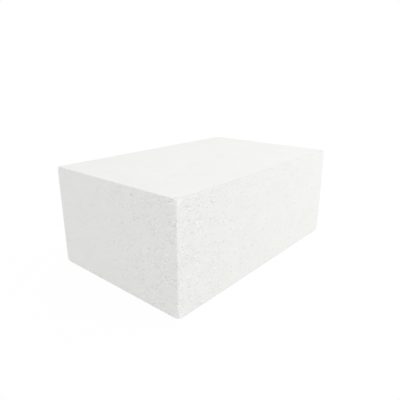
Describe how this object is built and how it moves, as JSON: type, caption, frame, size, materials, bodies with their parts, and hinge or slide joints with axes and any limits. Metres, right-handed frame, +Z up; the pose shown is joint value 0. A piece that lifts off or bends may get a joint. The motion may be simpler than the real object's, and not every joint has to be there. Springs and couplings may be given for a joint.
{
  "type": "aerated concrete block",
  "caption": "Plain rectangular block of white aerated concrete with worn edges and a fine porous surface, laid in thin-bed mortar to build walls.",
  "frame": {"origin": "middle of the lower bed face, which the block stands on", "axes": "+X along the block's length, +Y through the wall's thickness, +Z up along the course height"},
  "size_m": [0.625, 0.4, 0.25],
  "materials": {
    "aerated_concrete": "matt, wire-cut, with open pores"
  },
  "bodies": {
    "root": {"block": "aerated_concrete"}
  },
  "joints": []
}
